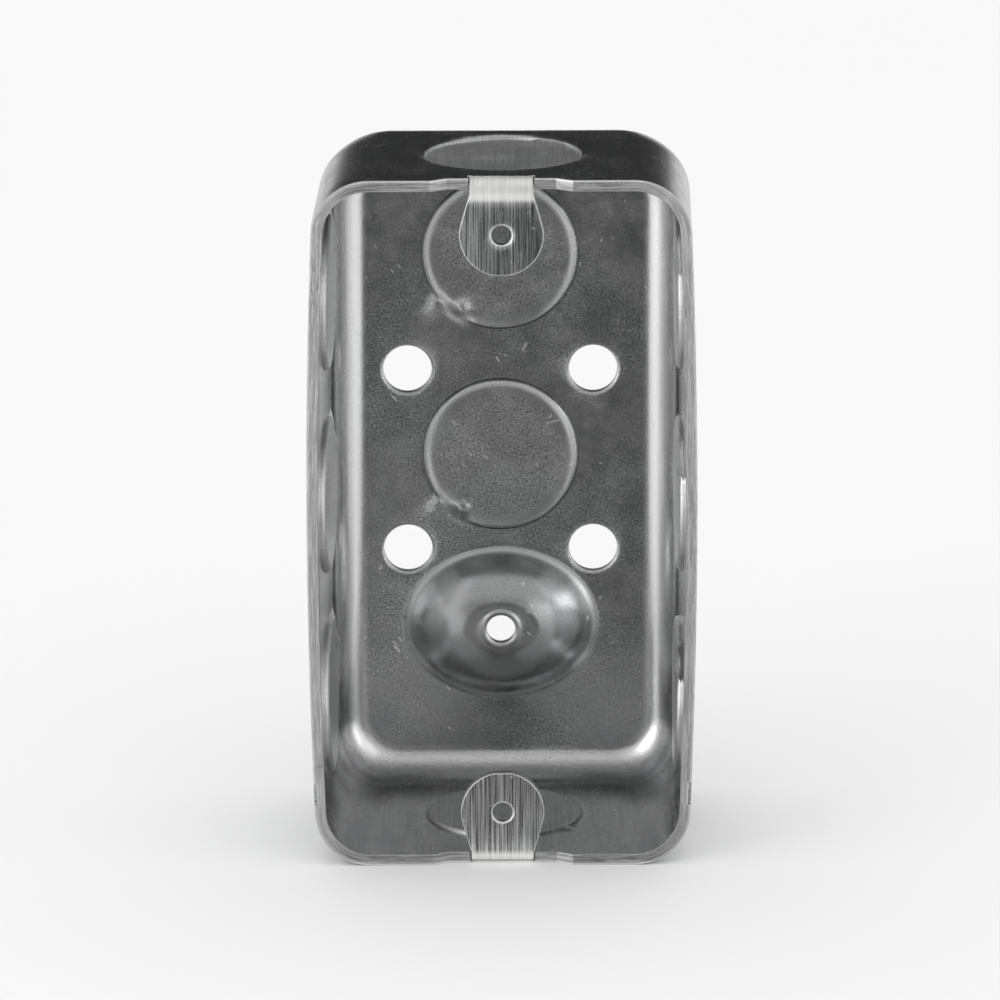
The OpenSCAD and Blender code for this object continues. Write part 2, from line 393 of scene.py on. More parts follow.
def end_edge():
    """The rim over half an end wall and half its ear, as (across, v) from the corner to the ear's tip."""
    notch_v = v_at(DEPTH - NOTCH_D)
    root_v = V_BEND + BEND_LENGTH - EAR_FLARE
    centre_v = V_BEND + BEND_LENGTH + EAR_SETBACK - BEND_R
    reach = math.hypot(EAR_NECK, centre_v - root_v)
    touch = math.atan2(centre_v - root_v, EAR_NECK) - math.acos(EAR_HEAD_R / reach)
    turns = np.linspace(-touch, math.pi / 2, 26)
    rise = np.minimum(EAR_HEAD_R * np.sin(turns), EAR_HEAD_R - EAR_TIP_FLAT)
    head = np.stack([EAR_HEAD_R * np.cos(turns), centre_v + rise], -1)
    slit_turns = np.linspace(0, -math.pi, 7)[1:-1]
    slit_end = np.stack(
        [EAR_NECK + SLIT / 2 * (1 + np.cos(slit_turns)), V_BEND + SLIT / 2 * (1 + np.sin(slit_turns))], -1
    )
    slit_v = V_BEND + SLIT / 2
    rim = polyline([(END, V_RIM), (NOTCH_TOP, V_RIM), (NOTCH_FLOOR, notch_v), (EAR_NECK + SLIT, notch_v)], 0.8)
    slit = polyline([(EAR_NECK + SLIT, notch_v), (EAR_NECK + SLIT, slit_v)], 0.4)
    neck = polyline([(EAR_NECK, slit_v), (EAR_NECK, root_v), tuple(head[0])], 0.35)
    return np.concatenate([rim, slit, [(EAR_NECK + SLIT, slit_v)], slit_end, neck, head])


def in_slot(u):
    """Whether a place round the box lies in one of the two small slots cut in the outer half of the rim."""
    hit = np.zeros(len(u), bool)
    for centre, sign in ((RIGHT_U, 1), (LEFT_U, -1)):
        y = (u - centre) * sign
        hit |= (y < -SLOT_FROM) & (y > -SLOT_TO)
    return hit


def rim_loop():
    """The strip's upper edge from u = 0 round to its end, with notches, slits, ears and trimmed sides."""
    low = V_RIM - RIM_TRIM
    half = end_edge()
    parts = []
    corner_step = ARC / 22

    def rim_line(u0, u1, v, step):
        parts.append(line((u0, v), (u1, v), step))

    def end(centre):
        parts.append(np.stack([centre - half[:, 0], half[:, 1]], -1))
        parts.append(np.stack([centre + half[::-1, 0], half[::-1, 1]], -1)[1:])

    def side(centre, sign):
        """One long side. sign is 1 where u grows up the box."""
        first, second = (TRIM_BOTTOM, TRIM_TOP) if sign > 0 else (TRIM_TOP, TRIM_BOTTOM)
        ends = (SLOT_TO + SHEAR, SLOT_TO - SHEAR, SLOT_FROM + SHEAR, SLOT_FROM - SHEAR)
        if sign > 0:
            stops = [-SIDE, *(-end for end in ends), -first]
        else:
            stops = [-SIDE, -first]
        parts.append(polyline([(centre + stop, V_RIM) for stop in stops], 0.8))
        parts.append(polyline([(centre - first, V_RIM), (centre - first, low)], 0.25))
        rim_line(centre - first, centre + second, low, 1.8)
        parts.append(polyline([(centre + second, low), (centre + second, V_RIM)], 0.25))
        stops = [second, SIDE] if sign > 0 else [second, *ends[::-1], SIDE]
        parts.append(polyline([(centre + stop, V_RIM) for stop in stops], 0.8))

    rim_line(0, STOPS[1], V_RIM, corner_step)
    side(RIGHT_U, 1)
    rim_line(STOPS[2], STOPS[3], V_RIM, corner_step)
    end(TOP_U)
    rim_line(STOPS[4] + 0.8, STOPS[5], V_RIM, corner_step)
    side(LEFT_U, -1)
    rim_line(STOPS[6], STOPS[7], V_RIM, corner_step)
    end(BOTTOM_U)
    rim_line(STOPS[8] + 0.8, STOPS[9], V_RIM, corner_step)
    parts.append(np.array([(STOPS[9], V_RIM)]))
    return np.concatenate(parts)


def u_samples():
    """Where the strip's columns of points stand: close in the corners, wider along the straight runs."""
    counts = (11, 46, 22, 30, 22, 46, 22, 30, 11)
    runs = [np.linspace(a, b, n, endpoint=False) for a, b, n in zip(STOPS[:-1], STOPS[1:], counts)]
    return np.concatenate(runs + [STOPS[-1:]])


def strip_knockouts():
    """Each wall knockout's centre on the strip, with the angle of its tab."""
    found = []
    for name in KNOCKOUTS:
        axis = mounts[name]["axis"]
        x, y, z = mount_mm(name)
        if axis[0] > 0:
            found.append(((RIGHT_U + y, v_at(z)), math.pi + TAB_ANGLE))
        elif axis[0] < 0:
            found.append(((LEFT_U - y, v_at(z)), TAB_ANGLE))
        elif axis[2] > 0:
            found.append(((TOP_U - x, v_at(z)), TAB_ANGLE))
        elif axis[2] < 0:
            found.append(((BOTTOM_U + x, v_at(z)), math.pi + TAB_ANGLE))
    return found


def ear_hole_centres():
    v = V_BEND + BEND_LENGTH + EAR_SETBACK - BEND_R
    return [(TOP_U, v), (BOTTOM_U, v)]


# What the material is told at each point of the sheet. Of these, lip, fold, bend and side also place painted highlights
# and painted light.
MASKS = ("cut", "smoothed", "fold", "slug", "lip", "rub", "bend", "side")


class Sheet:
    """Collects both faces of the sheet and its cut edges as one mesh."""

    def __init__(self):
        self.points, self.faces, self.count = [], [], 0
        self.values = {name: [] for name in ("flow", *MASKS)}

    def add(self, points, flow, **values):
        first = self.count
        self.points.append(points)
        self.count += len(points)
        self.values["flow"].append(flow)
        for name in MASKS:
            self.values[name].append(np.broadcast_to(np.asarray(values.get(name, 0.0), float), (len(points),)))
        return first

    def add_faces(self, faces):
        self.faces.append(np.asarray(faces, int))

    def add_ring_wall(self, rings):
        """Joins closed rings of vertex indices, all of one length, with pairs of triangles."""
        for low, high in zip(rings[:-1], rings[1:]):
            low_next, high_next = np.roll(low, -1), np.roll(high, -1)
            self.add_faces(np.stack([low, low_next, high_next], -1))
            self.add_faces(np.stack([low, high_next, high], -1))


def hole_wall(sheet, outer_ring, inner_ring, centre, r, z_out, thickness, flow, thread=0.0):
    """The wall of a round hole through a level stretch of the sheet, threaded if a depth is given."""
    count = len(outer_ring)
    ring = np.concatenate(sheet.points)[outer_ring]
    a = np.arctan2(ring[:, 1] - centre[1], ring[:, 0] - centre[0])
    levels = np.linspace(0.03, 0.97, 17) if thread else np.array([0.05, 0.35, 0.65, 0.95])
    rings = [outer_ring]
    for level in levels:
        phase = (level * thickness / THREAD_PITCH - a / (2 * math.pi)) % 1
        fade = min(1, level * 7, (1 - level) * 7)
        radius = r + thread * fade * (1 - np.abs(2 * phase - 1))
        points = np.stack(
            [centre[0] + radius * np.cos(a), centre[1] + radius * np.sin(a), np.full(count, z_out + level * thickness)], -1
        )
        # Both edges of the wall take the lip mask, which paints a highlight along them.
        at_edge = level < 0.1 or level > 0.9
        first = sheet.add(points, flow + np.zeros((count, 3)), cut=0.6 if thread else 1.0, lip=float(at_edge))
        rings.append(np.arange(first, first + count))
    sheet.add_ring_wall(rings + [inner_ring])


def add_floor(sheet):
    """The flat floor with its two knockouts, four mounting holes and the grounding bump."""
    u = u_samples()[:-1]
    border = wall_point(u, np.zeros_like(u))[:, :2]
    patches, loops = [border], [(0, len(border), True)]
    holes = []
    total = len(border)

    def add(points, closed_loop=False):
        nonlocal total
        if closed_loop:
            loops.append((total, len(points), True))
        patches.append(points)
        total += len(points)
        return total - len(points)

    slugs = [mount_mm(name)[:2] for name in KNOCKOUTS if mounts[name]["axis"][1] > 0]
    clear_of_border = offset_loop(border, 0.3)
    for centre in slugs:
        rings = slug_points(centre)
        add(rings[inside_polygon(rings, clear_of_border)])
    ease_rings = (EASE, EASE + 0.12, EASE + 0.4)
    for sx in (-1, 1):
        for sy in (-1, 1):
            centre = np.array([sx, sy]) * HOLE_PITCH / 2
            first = add(circle(centre, HOLE_R + ease_rings[0], 64), True)
            for more in ease_rings[1:]:
                add(circle(centre, HOLE_R + more, 64))
            holes.append((first, 64, centre, HOLE_R, 0.0))
    centre = GROUND_HOLE[:2]
    first = add(circle(centre, GROUND_R + 0.1, 56), True)
    holes.append((first, 56, centre, GROUND_R, 0.12))
    for more in (0.25, 0.45, 0.65, 0.85, 1.0):
        add(circle(centre, GROUND_R + more, 56))
    for share in BUMP_SHARES:
        a = SEAT_W / 2 + (BUMP_W - SEAT_W) / 2 * share
        b = SEAT_H / 2 + (BUMP_H - SEAT_H) / 2 * share
        add(ellipse(centre, a, b, 110 if share > 0 else 80))
    step = 2.2
    xs = np.arange(-END - 1, END + 1.1, step)
    ys = np.arange(-SIDE - 1, SIDE + 1.1, step)
    grid = np.stack(np.meshgrid(xs, ys), -1).reshape(-1, 2)
    keep = inside_polygon(grid, border) & far_from(grid, border, 1.1)
    for slug in slugs:
        keep &= np.hypot(*(grid - slug).T) > SLUG_REACH + 0.8
    for _, _, hole, r, _ in holes[:4]:
        keep &= np.hypot(*(grid - hole).T) > r + 1.2
    keep &= bump_share(grid[:, 0], grid[:, 1]) > 1.15
    add(grid[keep])

    plan = np.concatenate(patches)
    triangles = triangulate(plan, loops)
    middle = plan[triangles].mean(1)
    good = inside_polygon(middle, border)
    for first, count, *_ in holes:
        good &= ~inside_polygon(middle, plan[first : first + count])
    triangles = triangles[good]

    x, y = plan.T
    inside, outside, slug_mask, smoothed = (np.zeros(len(plan)) for _ in range(4))
    for slug in slugs:
        rho, angle = np.hypot(x - slug[0], y - slug[1]), np.arctan2(y - slug[1], x - slug[0])
        rise_in, rise_out = slug_profile(rho, angle, TAB_ANGLE, **FLOOR_SLUG)
        near = rho < SLUG_REACH
        inside, outside = np.where(near, rise_in, inside), np.where(near, rise_out, outside)
        slug_mask = np.maximum(slug_mask, 1 - smooth(SLUG_R - 0.2, SLUG_R + 0.2, rho))
        rolled = smooth(SLUG_R - SLUG_ROLL_W - 0.4, SLUG_R - SLUG_ROLL_W, rho) * (1 - smooth(SLUG_R, SLUG_R + 0.4, rho))
        smoothed = np.maximum(smoothed, rolled)
    for _, _, hole, r, _ in holes[:4]:
        rho = np.hypot(x - hole[0], y - hole[1])
        inside -= 0.16 * np.clip(1 - (rho - r) / 0.5, 0, 1) ** 2
        outside += 0.05 * np.clip(1 - (rho - r) / 0.2, 0, 1)
    share = bump_share(x, y)
    bump = bump_height(share)
    inside, outside = inside + bump, outside + bump
    rho = np.hypot(x - centre[0], y - centre[1])
    inside += GROUND_LIP * (1 - np.clip(np.abs(rho - GROUND_R - 0.45) / 0.45, 0, 1) ** 2)
    outside += 0.15 * np.clip(1 - (rho - GROUND_R) / 0.4, 0, 1)

    # The lip mask paints a highlight: along the holes' edges, where it also stands for worn bare zinc, round the bump's
    # foot and, fainter, round the ground hole.
    lip = np.zeros(len(plan))
    for first, count, *_ in holes:
        lip[first : first + count] = 1.0
    lip = np.maximum(lip, 0.8 * (1 - np.clip(np.abs(share - 0.955) / 0.1, 0, 1)))
    lip = np.maximum(lip, 0.6 * (1 - np.clip(np.abs(rho - GROUND_R - 0.5) / 0.5, 0, 1)))
    smoothed = np.maximum(smoothed, 1 - smooth(0.98, 1.1, share))
    flow = np.stack([x, y, np.zeros_like(x)], -1)
    wear_and_highlight = {"slug": slug_mask, "lip": lip, "smoothed": smoothed}
    out_first = sheet.add(np.stack([x, y, outside], -1), flow, **wear_and_highlight)
    in_first = sheet.add(np.stack([x, y, SHEET + inside], -1), flow, **wear_and_highlight)
    sheet.add_faces(out_first + triangles[:, ::-1])
    sheet.add_faces(in_first + triangles)
    for first, count, hole, r, thread in holes:
        ring = np.arange(first, first + count)
        z_out = outside[first] + 0.05
        thickness = SHEET + inside[first] - outside[first] - 0.1
        hole_wall(sheet, out_first + ring, in_first + ring, hole, r, z_out, thickness, flow[first], thread)


def add_strip(sheet):
    """The four walls and both ears."""
    columns = u_samples()
    rim = rim_loop()
    bottom = np.stack([columns, np.zeros_like(columns)], -1)
    levels = np.concatenate([np.linspace(0, FILLET, 15)[1:], np.arange(FILLET + 1.8, V_RIM - 1.2, 1.9), [V_RIM - 0.9]])
    left = np.stack([np.zeros_like(levels), levels], -1)
    right = np.stack([np.full_like(levels, STOPS[-1]), levels], -1)
    border = np.concatenate([bottom, right, rim[::-1], left[::-1]])
    # The faces stop short of the true rim by the easing. The first and last points stay in their columns.
    eased = offset_loop(border, EASE)
    rim_first = len(bottom) + len(right)
    rim_slice = slice(rim_first, rim_first + len(rim))
    lip = eased[rim_slice].copy()
    lip[0, 0], lip[-1, 0] = STOPS[-1], 0.0
    inner_border = border.copy()
    inner_border[rim_slice] = lip
    second = offset_loop(border, EASE * 2.6)[rim_slice][1:-1]

    patches, loops = [inner_border], [(0, len(inner_border), True)]
    total = len(inner_border)
    holes = []

    def add(points):
        nonlocal total
        patches.append(points)
        total += len(points)
        return total - len(points)

    ear_centres = ear_hole_centres()
    for centre in ear_centres:
        first = add(circle(centre, EAR_HOLE_R + 0.18, 44))
        loops.append((first, 44, True))
        holes.append((first, 44, centre))
        add(circle(centre, EAR_HOLE_R + 0.34, 44))
        add(circle(centre, EAR_HOLE_R + 0.85, 36))
    slugs = strip_knockouts()
    for centre, _ in slugs:
        add(slug_points(centre))
    second = second[inside_polygon(second, inner_border) & far_from(second, inner_border, EASE * 1.2)]
    add(second)
    across = np.arange(-SLOT_TO - 0.2, -SLOT_FROM + 0.21, 0.2)
    for centre, sign in ((RIGHT_U, 1), (LEFT_U, -1)):
        for v in (V_RIM - SLOT_D - SHEAR, V_RIM - SLOT_D + SHEAR):
            add(np.stack([centre + sign * across, np.full_like(across, v)], -1))

    columns_inside = columns[1:-1]
    grid = np.stack(np.meshgrid(columns_inside, levels), -1).reshape(-1, 2)
    ear_v = np.concatenate(
        [np.arange(V_BEND + 0.3, V_BEND + BEND_LENGTH, 0.3), np.arange(V_BEND + BEND_LENGTH, V_BEND + BEND_LENGTH + 10.6, 0.75)]
    )
    ear_x = np.linspace(-5.4, 5.4, 17)
    ear_grid = np.stack(np.meshgrid(ear_x, ear_v), -1).reshape(-1, 2)
    ears = [ear_grid + (centre[0], 0) for centre in ear_centres]
    near_ear = np.zeros(len(grid), bool)
    for centre in ear_centres:
        near_ear |= (np.abs(grid[:, 0] - centre[0]) < EAR_NECK + 0.6) & (grid[:, 1] > V_BEND)
    grid = np.concatenate([grid[~near_ear]] + ears)
    keep = inside_polygon(grid, inner_border) & far_from(grid, inner_border[rim_slice], 0.32)
    for centre, _ in slugs:
        keep &= np.hypot(*(grid - centre).T) > SLUG_REACH + 0.7
    for centre in ear_centres:
        keep &= np.hypot(*(grid - centre).T) > EAR_HOLE_R + 1.2
    add(grid[keep])

    plan = np.concatenate(patches)
    triangles = triangulate(plan, loops)
    middle = plan[triangles].mean(1)
    good = inside_polygon(middle, inner_border)
    for first, count, _ in holes:
        good &= ~inside_polygon(middle, plan[first : first + count])
    triangles = triangles[good]

    u, v = plan.T
    points, normals = strip_frame(u, v)
    inside, outside, slug_mask = (np.zeros(len(plan)) for _ in range(3))
    for centre, tab in slugs:
        rho, angle = np.hypot(u - centre[0], v - centre[1]), np.arctan2(v - centre[1], u - centre[0])
        rise_in, rise_out = slug_profile(rho, angle, tab, **WALL_SLUG)
        near = rho < SLUG_REACH
        inside, outside = np.where(near, rise_in, inside), np.where(near, rise_out, outside)
        slug_mask = np.maximum(slug_mask, 1 - smooth(SLUG_R - 0.2, SLUG_R + 0.2, rho))
    # The lip mask paints a highlight, also standing for worn bare zinc at the cut: round the knockouts' edges, along
    # the rim and round the ear holes.
    lip = np.zeros(len(plan))
    for centre, _ in slugs:
        rho = np.hypot(u - centre[0], v - centre[1])
        lip = np.maximum(lip, 0.8 * (1 - np.clip(np.abs(rho - SLUG_R + 0.1) / 0.4, 0, 1)))
    lip[rim_slice] = 1.0
    for first, count, _ in holes:
        lip[first : first + count] = 1.0
    slot = in_slot(u) & (v > V_RIM - SLOT_D)
    outside = np.where(slot, SLOT_IN, outside)
    for centre in ear_centres:
        rho = np.hypot(u - centre[0], v - centre[1])
        inside -= 0.12 * np.clip(1 - (rho - EAR_HOLE_R) / 0.4, 0, 1)
        outside += 0.16 * np.clip(1 - (rho - EAR_HOLE_R) / 0.4, 0, 1)

    rim_points, _ = wall_frame(u, np.minimum(v, V_RIM))
    flow = np.stack([rim_points[:, 0], rim_points[:, 1], v], -1)
    on_ear = (v > V_BEND) & bent_over(u, v)
    reach = np.where(np.abs(u - TOP_U) < END, 1.0, 0.76) * BEND_LENGTH
    # The ears' bends: the material paints them near white, a painted highlight streaked like crazed plating, and makes
    # them rougher.
    bend = np.where(on_ear, 1 - smooth(reach - 0.8, reach + 0.4, v - V_BEND), 0.0)
    rub_out = np.where(slot, 0.0, np.where(on_ear, 1.0, 0.2 * smooth(0, FILLET, v)))
    rub_in = np.where(on_ear, 1.0, 0.2 * smooth(0, FILLET, v))
    # A band up the floor's rounded edge on the inside: a painted highlight in the colour, and coarser grain on the end
    # walls.
    fold = smooth(0, 0.15 * FILLET, v) * (1 - smooth(0.35 * FILLET, 0.9 * FILLET, v))
    wear_and_highlight = {"slug": slug_mask, "lip": lip, "bend": bend}
    # Above nought on the long walls and below on the end walls: the material paints light by it, the long walls lighter
    # and the end walls a little lighter.
    side = np.where(on_ear, 0, np.abs(normals[:, 0]) - np.abs(normals[:, 1]))
    out_first = sheet.add(points - normals * outside[:, None], flow, rub=rub_out, **wear_and_highlight)
    in_first = sheet.add(points - normals * (SHEET + inside)[:, None], flow, rub=rub_in, side=side, fold=fold, **wear_and_highlight)
    sheet.add_faces(out_first + triangles)
    sheet.add_faces(in_first + triangles[:, ::-1])

    for (first, count, centre), sign in zip(holes, (1, -1)):
        ring = np.arange(first, first + count)
        hole = (0.0, sign * (HALF_L - EAR_SETBACK))
        z_out = DEPTH - outside[first] - 0.04
        thickness = -(SHEET + inside[first] - outside[first] - 0.08)
        hole_wall(sheet, out_first + ring, in_first + ring, hole, EAR_HOLE_R, z_out, thickness, flow[first], 0.14)
    add_rim_face(sheet, rim[::-1], out_first + np.arange(rim_slice.start, rim_slice.stop),
                 in_first + np.arange(rim_slice.start, rim_slice.stop))


def add_rim_face(sheet, rim, out_ring, in_ring):
    """The cut edge of the sheet, along the rim and round the ears."""
    points, normals = strip_frame(rim[:, 0], rim[:, 1])
    flow_points, _ = wall_frame(rim[:, 0], np.minimum(rim[:, 1], V_RIM))
    rows = [out_ring]
    sunk = np.where(in_slot(rim[:, 0]), SLOT_IN, 0.0)[:, None]
    sideways = np.abs(normals[:, 0])
    for level in (0.05, 0.13, 0.28, 0.34, 0.6, 0.87, 0.95):
        torn = 1.0 if 0.3 < level < 0.9 else 0.5 + 0.5 * sideways
        flow = np.stack([flow_points[:, 0], flow_points[:, 1], np.full(len(rim), 60 + 1.6 * level)], -1)
        # The rows at the faces' edges take the lip mask, a painted highlight; side paints the cut edge of the long
        # sides lighter.
        at_edge = level < 0.2 or level > 0.9
        first = sheet.add(points - normals * (sunk + (SHEET - sunk) * level), flow, cut=torn, lip=float(at_edge), side=sideways)
        rows.append(np.arange(first, first + len(rim)))
    rows.append(in_ring)
    for low, high in zip(rows[:-1], rows[1:]):
        sheet.add_faces(np.stack([low[:-1], low[1:], high[1:]], -1))
        sheet.add_faces(np.stack([low[:-1], high[1:], high[:-1]], -1))


def build_box():
    sheet = Sheet()
    add_floor(sheet)
    add_strip(sheet)
    local = np.concatenate(sheet.points)
    row = np.stack([local[:, 0], -local[:, 2], local[:, 1]], -1) * MM
    faces = np.concatenate(sheet.faces)
    mesh = bpy.data.meshes.new("drawn_box")
    mesh.from_pydata(row.tolist(), [], faces.tolist())
    for name in MASKS:
        layer = mesh.attributes.new(name, "FLOAT", "POINT")
        layer.data.foreach_set("value", np.concatenate(sheet.values[name]).astype(np.float32))
    flow = mesh.attributes.new("flow", "FLOAT_VECTOR", "POINT")
    flow.data.foreach_set("vector", (np.concatenate(sheet.values["flow"]) * MM).astype(np.float32).ravel())
    box = bpy.data.objects.new("drawn_box", mesh)
    bpy.context.scene.collection.objects.link(box)
    weld(box)
    return box


def weld(box):
    """Joins the patches where their edges meet, and shades the sheet smooth."""
    import bmesh

    bm = bmesh.new()
    bm.from_mesh(box.data)
    bmesh.ops.remove_doubles(bm, verts=bm.verts, dist=2e-6)
    bmesh.ops.recalc_face_normals(bm, faces=bm.faces)
    if any(len(edge.link_faces) != 2 for edge in bm.edges):
        raise RuntimeError("the sheet is not closed")
    bm.to_mesh(box.data)
    bm.free()
    box.data.polygons.foreach_set("use_smooth", [True] * len(box.data.polygons))
    box.data.set_sharp_from_angle(angle=math.radians(28))
    box.data.update()


class Nodes:
    """Short names for the shader nodes that a material is built from."""

    def __init__(self, material):
        material.use_nodes = True
        self.tree = material.node_tree
        self.shader = self.tree.nodes["Principled BSDF"]

    def feed(self, socket, value):
        if isinstance(value, bpy.types.NodeSocket):
            self.tree.links.new(value, socket)
        else:
            socket.default_value = value

    def attribute(self, name, output="Fac"):
        node = self.tree.nodes.new("ShaderNodeAttribute")
        node.attribute_name = name
        return node.outputs[output]

    def stretch(self, vector, scale, turn=(0, 0, 0)):
        node = self.tree.nodes.new("ShaderNodeMapping")
        self.feed(node.inputs["Vector"], vector)
        node.inputs["Scale"].default_value = scale
        node.inputs["Rotation"].default_value = turn
        return node.outputs["Vector"]

    def noise(self, vector, scale, detail=2.0, roughness=0.5):
        node = self.tree.nodes.new("ShaderNodeTexNoise")
        self.feed(node.inputs["Vector"], vector)
        node.inputs["Scale"].default_value = scale
        node.inputs["Detail"].default_value = detail
        node.inputs["Roughness"].default_value = roughness
        return node.outputs["Fac"]

    def ranged(self, value, low, high, to_low=0.0, to_high=1.0):
        node = self.tree.nodes.new("ShaderNodeMapRange")
        node.interpolation_type = "SMOOTHSTEP"
        self.feed(node.inputs["Value"], value)
        for name, number in (("From Min", low), ("From Max", high), ("To Min", to_low), ("To Max", to_high)):
            self.feed(node.inputs[name], number)
        return node.outputs["Result"]

    def math(self, operation, *values):
        node = self.tree.nodes.new("ShaderNodeMath")
        node.operation = operation
        for socket, value in zip(node.inputs, values):
            self.feed(socket, value)
        return node.outputs["Value"]

    def mix(self, factor, a, b):
        node = self.tree.nodes.new("ShaderNodeMix")
        node.data_type = "RGBA"
        self.feed(node.inputs["Factor"], factor)
        self.feed(node.inputs["A"], a)
        self.feed(node.inputs["B"], b)
        return node.outputs["Result"]

    def scratches(self, vector):
        """A few thin straight scratches lying at several angles."""
        total = None
        for turn, reach in ((0.35, 0.02), (-0.6, 0.03), (1.25, 0.02), (2.3, 0.03)):
            turned = self.stretch(vector, (1, 1, 1), (0.4, 0, turn))
            lines = self.noise(self.stretch(turned, (1, reach, 1)), 1400, 1, 0.5)
            here = self.noise(turned, 120, 1, 0.5)
            strength = self.math("MULTIPLY", self.ranged(lines, 0.74, 0.77), self.ranged(here, 0.52, 0.6))
            total = strength if total is None else self.math("MAXIMUM", total, strength)
        return total

    def bump(self, height, distance, normal=None):
        node = self.tree.nodes.new("ShaderNodeBump")
        self.feed(node.inputs["Height"], height)
        node.inputs["Distance"].default_value = distance
        if normal is not None:
            self.feed(node.inputs["Normal"], normal)
        return node.outputs["Normal"]


def steel_material():
    """Bright zinc over cold-rolled steel: mottled, finely grained, streaked where the draw has rubbed it."""
    material = bpy.data.materials.new("zinc_plated_steel")
    n = Nodes(material)
    flow, cut = n.attribute("flow", "Vector"), n.attribute("cut")
    lip, rub, bend, slug, side = (n.attribute(name) for name in ("lip", "rub", "bend", "slug", "side"))
    fold, smoothed = n.attribute("fold"), n.attribute("smoothed")
    mottle = n.noise(flow, 170, 5, 0.6)
    patches = n.noise(flow, 45, 3, 0.5)
    stains = n.noise(flow, 240, 4, 0.75)
    grain = n.noise(flow, 3000, 2, 0.6)
    specks = n.noise(flow, 3300, 2, 0.6)
    drawn = n.stretch(flow, (1, 1, 0.012))
    streaks = n.noise(drawn, 5200, 2, 0.7)
    wide_streaks = n.noise(drawn, 500, 3, 0.6)
    fracture = n.noise(n.stretch(flow, (0.05, 0.05, 1)), 3600, 3, 0.7)
    rough_skin = n.ranged(n.math("MAXIMUM", smoothed, n.ranged(rub, 0.1, 0.2)), 0, 1, 1, 0.25)
    scratches = n.scratches(flow)

    plain = n.mix(n.ranged(mottle, 0.3, 0.75), (0.4, 0.405, 0.41, 1), (0.48, 0.48, 0.485, 1))
    plain = n.mix(n.math("MULTIPLY", slug, 0.42), plain, (0.7, 0.7, 0.7, 1))
    tinted = n.mix(n.ranged(patches, 0.45, 0.7, 0, 0.4), plain, (0.37, 0.43, 0.41, 1))
    grainy = n.math("MAXIMUM", n.ranged(patches, 0.35, 0.6, 0.25, 0.75), n.math("MULTIPLY", slug, 0.8))
    grainy = n.math("MULTIPLY", rough_skin, grainy)
    dotted = n.mix(n.math("MULTIPLY", grainy, n.ranged(specks, 0.54, 0.66)), tinted, (0.85, 0.85, 0.85, 1))
    pitted = n.mix(n.math("MULTIPLY", grainy, n.ranged(specks, 0.45, 0.34)), dotted, (0.13, 0.13, 0.135, 1))
    stained = n.mix(n.ranged(stains, 0.64, 0.74, 0, 0.6), pitted, (0.1, 0.1, 0.1, 1))
    # Painted light by which way the inside faces: the long walls lighter, the end walls a little lighter.
    sides = n.mix(n.ranged(side, 0.08, 0.7, 0, 0.8), stained, (0.8, 0.8, 0.8, 1))
    ends = n.mix(n.ranged(side, -0.3, -0.9, 0, 0.3), sides, (0.58, 0.59, 0.585, 1))
    # Painted highlight along the floor's rounded edge.
    painted_fold_highlight = n.mix(n.math("MULTIPLY", fold, 0.7), ends, (0.85, 0.85, 0.85, 1))
    rubbed = n.mix(n.math("MULTIPLY", rub, n.ranged(streaks, 0.52, 0.66, 0, 0.8)), painted_fold_highlight, (0.9, 0.9, 0.9, 1))
    wear_and_highlight = n.mix(n.math("MULTIPLY", rub, n.ranged(streaks, 0.5, 0.38, 0, 0.95)), rubbed, (0.07, 0.07, 0.07, 1))
    scored = n.mix(scratches, wear_and_highlight, (0.85, 0.85, 0.85, 1))
    # Painted highlight: the ears' bends near white, streaked like crazed plating.
    bend_highlight_and_crazing = n.mix(n.math("MULTIPLY", bend, n.ranged(streaks, 0.3, 0.6, 0.84, 1.0)), scored, (0.95, 0.95, 0.93, 1))
    torn = n.mix(n.ranged(fracture, 0.35, 0.65), (0.2, 0.2, 0.2, 1), (0.6, 0.6, 0.6, 1))
    # Painted light: the cut edge lighter on the long sides than at the ends.
    torn = n.mix(n.ranged(side, 0.3, 0.9, 0, 0.42), torn, (0.8, 0.8, 0.8, 1))
    colour = n.mix(n.math("MULTIPLY", cut, 0.9), bend_highlight_and_crazing, torn)
    # Painted highlight on the lip mask, partly the bare zinc of worn burrs.
    colour = n.mix(n.ranged(lip, 0.3, 1.0, 0, 0.8), colour, (0.85, 0.85, 0.85, 1))
    n.feed(n.shader.inputs["Base Color"], colour)
    n.shader.inputs["Metallic"].default_value = 1.0

    rough = n.ranged(mottle, 0.3, 0.75, 0.21, 0.29)
    rough = n.math("ADD", rough, n.math("MULTIPLY", rub, n.ranged(wide_streaks, 0.4, 0.7, 0.0, 0.1)))
    rough = n.math("ADD", rough, n.math("MULTIPLY", n.math("MAXIMUM", cut, lip), 0.2))
    rough = n.math("ADD", rough, n.math("MULTIPLY", bend, 0.3))
    rough = n.math("SUBTRACT", rough, n.ranged(side, 0.5, 1.0, 0, 0.1))
    rough = n.math("ADD", rough, n.math("MULTIPLY", slug, n.math("MULTIPLY_ADD", rub, 1.3, 0.02)))
    n.feed(n.shader.inputs["Roughness"], rough)

    coarse = n.math("MULTIPLY", fold, n.ranged(side, -0.02, -0.3, 0, 2.5))
    normal = n.bump(n.math("MULTIPLY", grain, n.math("ADD", rough_skin, coarse)), 0.000014)
    normal = n.bump(scratches, 0.00001, normal)
    normal = n.bump(n.math("MULTIPLY", rub, streaks), 0.00003, normal)
    normal = n.bump(n.math("MULTIPLY", cut, fracture), 0.00008, normal)
    n.feed(n.shader.inputs["Normal"], normal)
    return material


